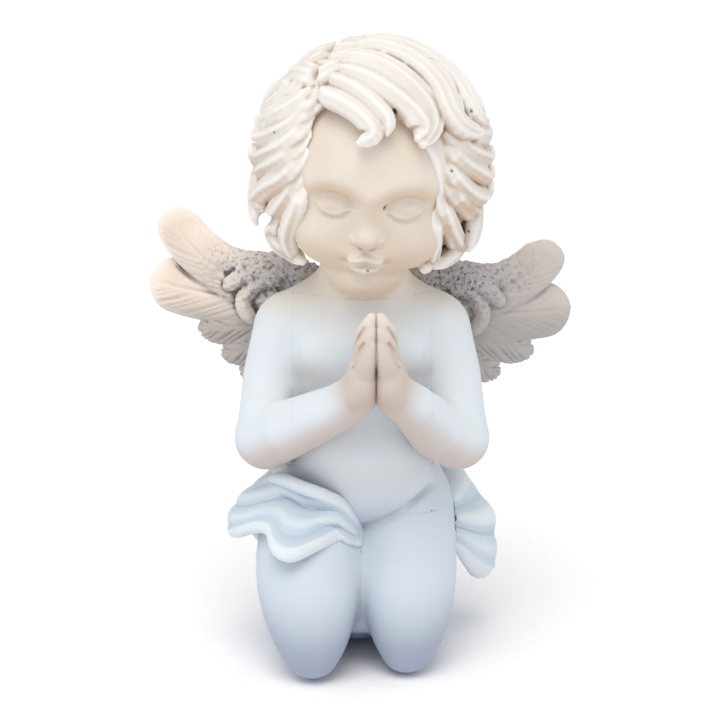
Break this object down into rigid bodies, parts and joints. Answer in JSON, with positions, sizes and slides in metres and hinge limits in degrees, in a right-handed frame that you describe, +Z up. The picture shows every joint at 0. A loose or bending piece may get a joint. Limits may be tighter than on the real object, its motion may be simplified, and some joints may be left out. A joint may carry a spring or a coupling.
{
  "type": "angel figurine",
  "caption": "Kneeling winged cherub with bowed curly head and praying hands, cast in pale resin, to stand on a shelf as an ornament.",
  "frame": {"origin": "on the ground under the figure, midway between its knees", "axes": "+Z up; the figure faces -Y; its left hand is on +X"},
  "size_m": [0.1064, 0.0763, 0.1564],
  "materials": {
    "skin_resin": "matt white paint with a cool shade, over cast resin",
    "head_resin": "matt ivory paint, over cast resin",
    "cloth_resin": "matt blue-white paint, over cast resin",
    "wing_resin": "matt grey-beige paint, rubbed dark in the grooves, over cast resin",
    "steel": "plain ground steel"
  },
  "bodies": {
    "root": {"torso": "skin_resin", "right_leg": "skin_resin", "left_leg": "skin_resin", "head": "head_resin", "hair": "head_resin", "right_arm": "skin_resin", "left_arm": "skin_resin", "right_wing": "wing_resin", "left_wing": "wing_resin", "hip_drape": "cloth_resin", "back_drape": "cloth_resin", "neck_dowel": "steel", "hip_dowels": "steel", "shoulder_dowels": "steel", "wing_dowels": "steel"}
  },
  "joints": []
}
